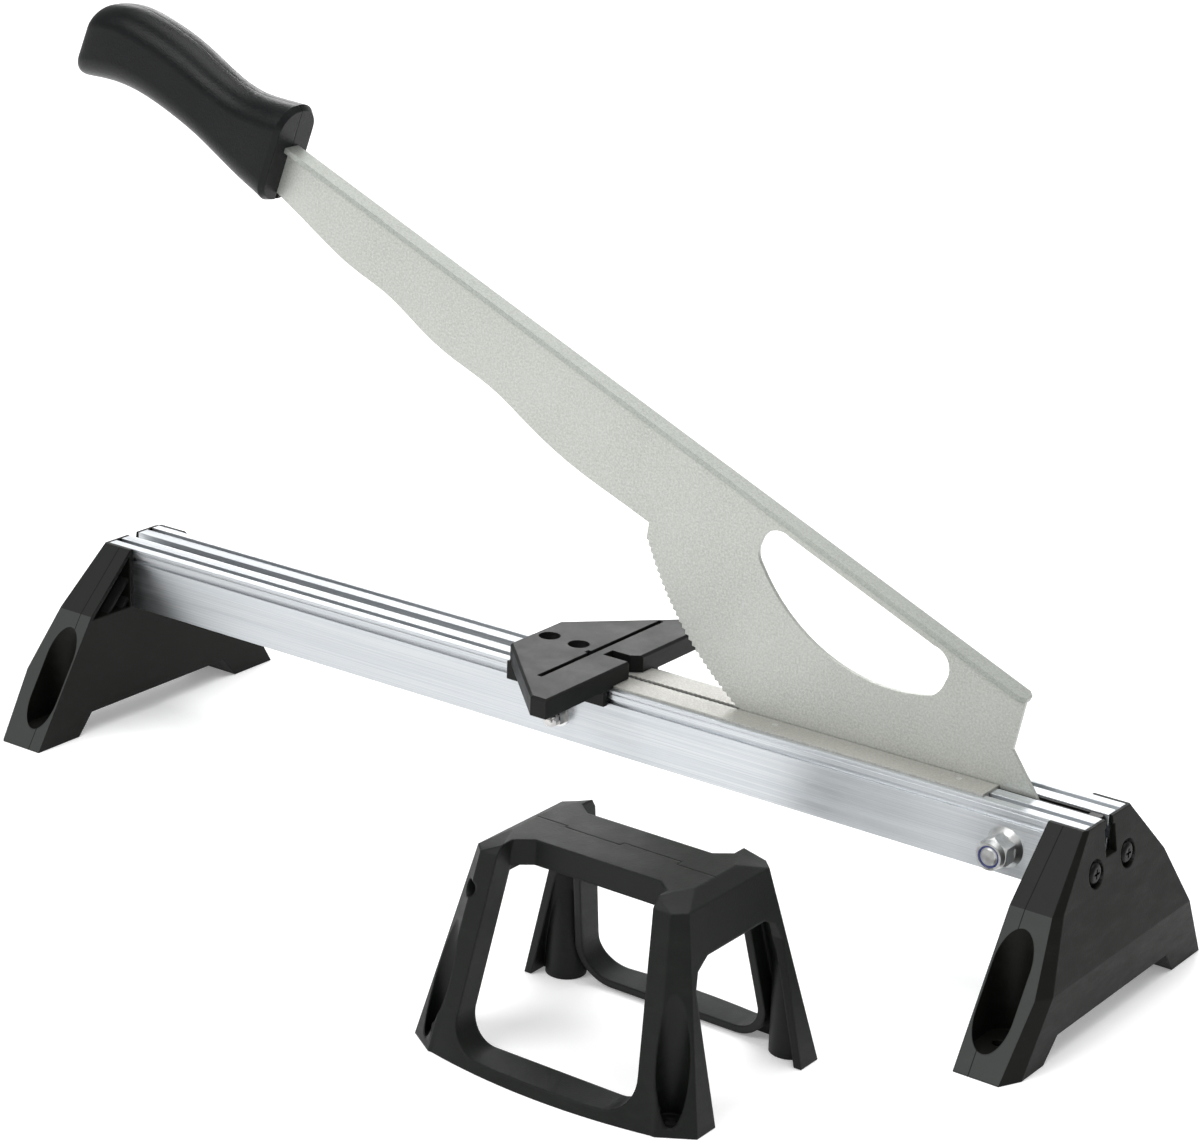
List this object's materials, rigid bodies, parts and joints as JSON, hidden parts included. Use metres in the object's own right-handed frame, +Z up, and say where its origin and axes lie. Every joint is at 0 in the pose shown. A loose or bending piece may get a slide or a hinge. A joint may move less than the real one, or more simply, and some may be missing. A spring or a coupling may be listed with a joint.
{
  "type": "tile cutter",
  "caption": "Lever shear for floor tiles and planks: a toothed blade swings down into a slotted aluminium rail against an angled fence, with a loose work support in front.",
  "frame": {"origin": "middle of the bench screw holes, on the face that the feet stand on", "axes": "+X along the rail towards the lever's pivot, +Y to the back, away from the loose support, +Z up"},
  "size_m": [0.5829, 0.2965, 0.3521],
  "materials": {
    "aluminium_extrusion": "mill finish, faint lines along the rail",
    "counter_blade_steel": "galvanised, satin",
    "galvanised_blade": "galvanised, fine grain",
    "galvanised_spine": "galvanised, dull",
    "zinc_steel": "zinc plated",
    "black_screw_steel": "blackened",
    "bright_steel": "turned",
    "chromed_nut": "polished",
    "blue_nylon": "smooth",
    "black_liner_plastic": "smooth",
    "black_foot_plastic": "fine mould texture",
    "handle_plastic": "satin, fine grain",
    "fence_plastic": "satin",
    "black_support_plastic": "fine mould texture"
  },
  "bodies": {
    "base": {"rail_rear": "aluminium_extrusion", "rail_front": "aluminium_extrusion", "counter_blade_rear": "counter_blade_steel", "counter_blade_front": "counter_blade_steel", "counter_blade_rivets": "zinc_steel", "slot_liner": "black_liner_plastic", "foot_right": "black_foot_plastic", "foot_left": "black_foot_plastic", "foot_screws": "black_screw_steel", "pivot_bolt": "zinc_steel", "pivot_nut": "zinc_steel", "pivot_nut_ring": "blue_nylon", "pivot_washer": "zinc_steel", "pivot_bush": "bright_steel", "friction_washer_rear": "bright_steel", "friction_washer_front": "bright_steel", "tie_bolt": "zinc_steel", "tie_nut": "chromed_nut", "tie_washer_rear": "zinc_steel", "tie_washer_front": "zinc_steel", "tie_spacer": "bright_steel"},
    "lever": {"blade_plate": "galvanised_blade", "blade_spine": "galvanised_spine", "handle_front_shell": "handle_plastic", "handle_rear_shell": "handle_plastic", "handle_screws": "zinc_steel"},
    "fence": {"fence_plate": "fence_plastic", "fence_screws": "zinc_steel", "fence_nut_bar": "bright_steel"},
    "support": {"support_stand": "black_support_plastic"}
  },
  "joints": [
    {"name": "lever_hinge", "type": "hinge", "parent": "base", "child": "lever", "pos_m": [0.2358, 0, 0.0695], "axis": [0, 1, 0], "range_deg": [-17, 60]},
    {"name": "fence_slide", "type": "slide", "parent": "base", "child": "fence", "axis": [1, 0, 0], "range_m": [-0.2, 0]},
    {"name": "support_slide", "type": "slide", "parent": "base", "child": "support", "axis": [0, 1, 0], "range_m": [-0.25, 0.015]}
  ]
}
